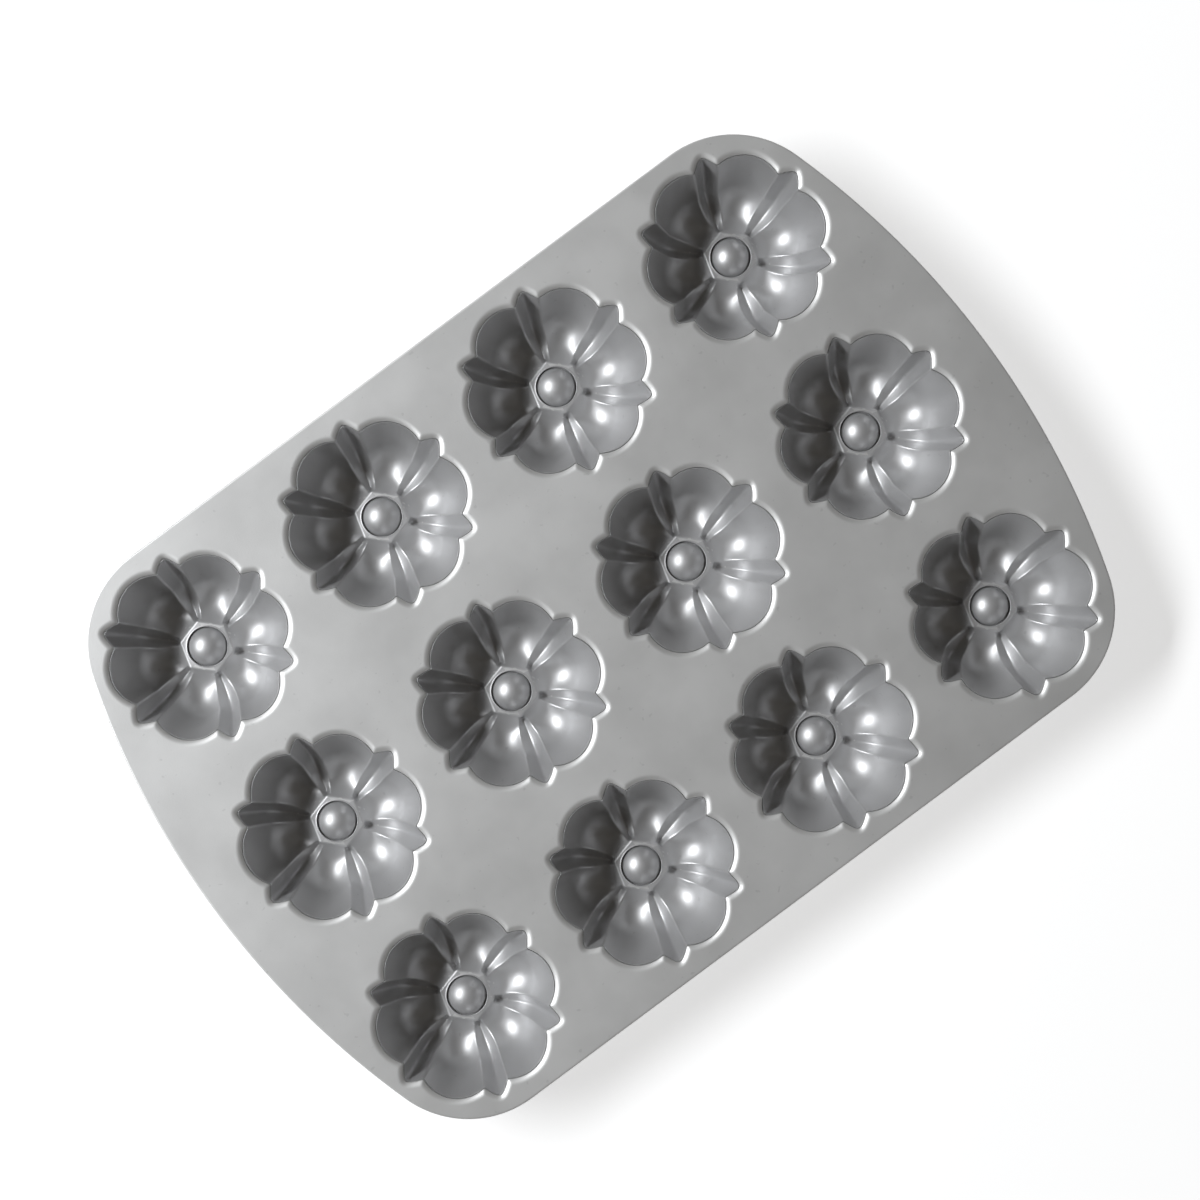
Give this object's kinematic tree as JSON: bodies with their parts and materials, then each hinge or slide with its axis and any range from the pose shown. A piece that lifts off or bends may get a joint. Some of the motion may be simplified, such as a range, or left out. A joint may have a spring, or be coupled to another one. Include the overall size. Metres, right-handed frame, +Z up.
{
  "type": "mini fluted tube pan",
  "caption": "Bow-ended baking pan: a flat deck plate carries a grid of fluted cups, each with a low central boss and a domed button.",
  "frame": {"origin": "on the plane the twelve cup feet rest on, straight under the middle of the deck plate", "axes": "+X along the long side, across the four cups of a row; +Y across the three rows, towards row 1; +Z up, out of the cup mouths"},
  "size_m": [0.394, 0.2774, 0.0325],
  "materials": {
    "deck_metal": "satin, very fine blasted grain",
    "cup_metal": "satin, a little glossier than the deck"
  },
  "bodies": {
    "root": {"deck_plate": "deck_metal", "cup_r1c1": "cup_metal", "cup_r1c2": "cup_metal", "cup_r1c3": "cup_metal", "cup_r1c4": "cup_metal", "cup_r2c1": "cup_metal", "cup_r2c2": "cup_metal", "cup_r2c3": "cup_metal", "cup_r2c4": "cup_metal", "cup_r3c1": "cup_metal", "cup_r3c2": "cup_metal", "cup_r3c3": "cup_metal", "cup_r3c4": "cup_metal"}
  },
  "joints": []
}
